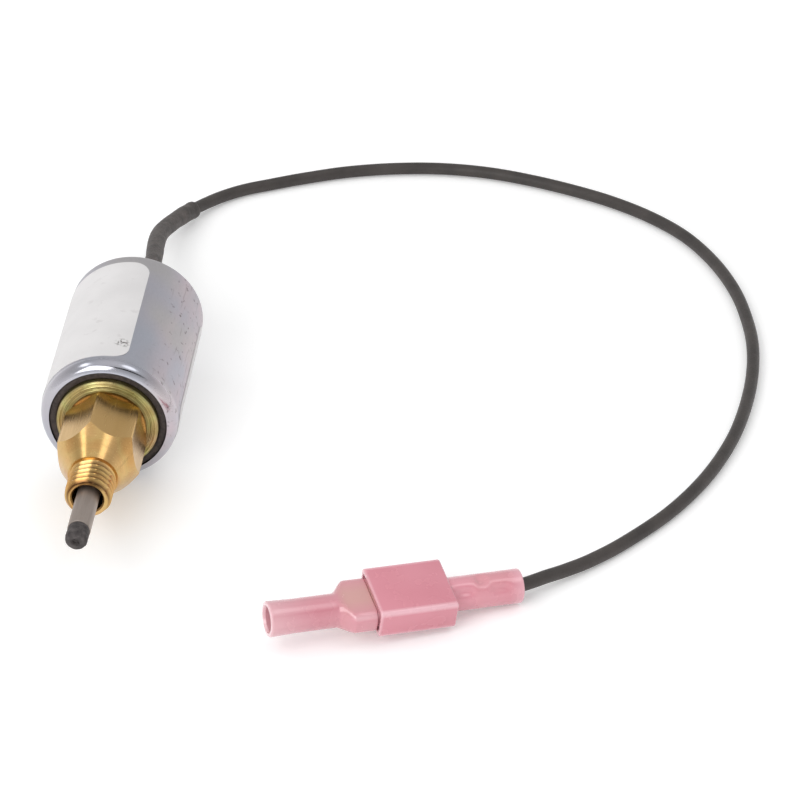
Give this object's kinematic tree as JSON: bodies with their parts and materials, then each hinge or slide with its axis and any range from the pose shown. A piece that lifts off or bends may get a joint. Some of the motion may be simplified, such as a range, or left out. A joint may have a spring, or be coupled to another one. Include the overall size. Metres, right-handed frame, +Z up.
{
  "type": "fuel shutoff solenoid",
  "caption": "Carburettor fuel shutoff solenoid: zinc-plated can, brass hex nose with a spring-loaded pin, and a single lead to a pink push-on connector.",
  "frame": {"origin": "under the middle of the can and its fitting, on the surface that the part lies on", "axes": "+Y along the can from its nose to its closed end, +Z up from the surface, +X to the side where the lead lies"},
  "size_m": [0.1233, 0.1575, 0.0239],
  "materials": {
    "can": "bright zinc plating, satin, with a bluish tint",
    "label": "matt off-white paper, bare",
    "seal_rubber": "matt",
    "yellow_zinc": "turned, yellow plating",
    "brass": "turned, satin",
    "thin_brass": "drawn, satin",
    "spool_nylon": "moulded",
    "copper": "enamelled wire, gloss",
    "tape": "film tape",
    "core_iron": "turned",
    "washer_steel": "pressed",
    "shim_brass": "rolled",
    "grommet_rubber": "matt",
    "splice_tin": "tinned",
    "armature_iron": "turned, plated",
    "pin_steel": "drawn along its length, warm grey",
    "tip_rubber": "matt, ground",
    "spring_steel": "wound wire",
    "lead_insulation": "semi-matt insulation",
    "shrink_sleeve": "matt, shrunk",
    "male_nylon": "milky pink nylon, satin",
    "male_tin": "tinned",
    "male_copper": "copper sleeve",
    "female_nylon": "clear pink nylon, satin",
    "female_tin": "tinned",
    "female_copper": "copper sleeve"
  },
  "bodies": {
    "solenoid": {"can": "can", "label": "label", "seal_ring": "seal_rubber", "pole_plate": "yellow_zinc", "brass_fitting": "brass", "guide_tube": "thin_brass", "bobbin": "spool_nylon", "coil_winding": "copper", "coil_wrap": "tape", "rear_core": "core_iron", "flux_washer": "washer_steel", "core_shim": "shim_brass", "grommet": "grommet_rubber", "lead_splice": "splice_tin", "return_spring": "spring_steel", "lead_wire": "lead_insulation", "lead_sleeve": "shrink_sleeve", "male_housing": "male_nylon", "male_terminal": "male_tin", "male_support": "male_copper"},
    "plunger": {"armature": "armature_iron", "plunger_pin": "pin_steel", "pin_tip": "tip_rubber"},
    "female_half": {"female_housing": "female_nylon", "female_terminal": "female_tin", "female_support": "female_copper"}
  },
  "joints": [
    {"name": "plunger_slide", "type": "slide", "parent": "solenoid", "child": "plunger", "axis": [0, 1, 0], "range_m": [0, 0.0032], "stiffness_N_per_m": 350, "springref_m": -0.0043, "deforming": ["return_spring"]},
    {"name": "connector_slide", "type": "slide", "parent": "solenoid", "child": "female_half", "axis": [-0.9174, -0.3913, 0.0732], "range_m": [0, 0.01]}
  ]
}
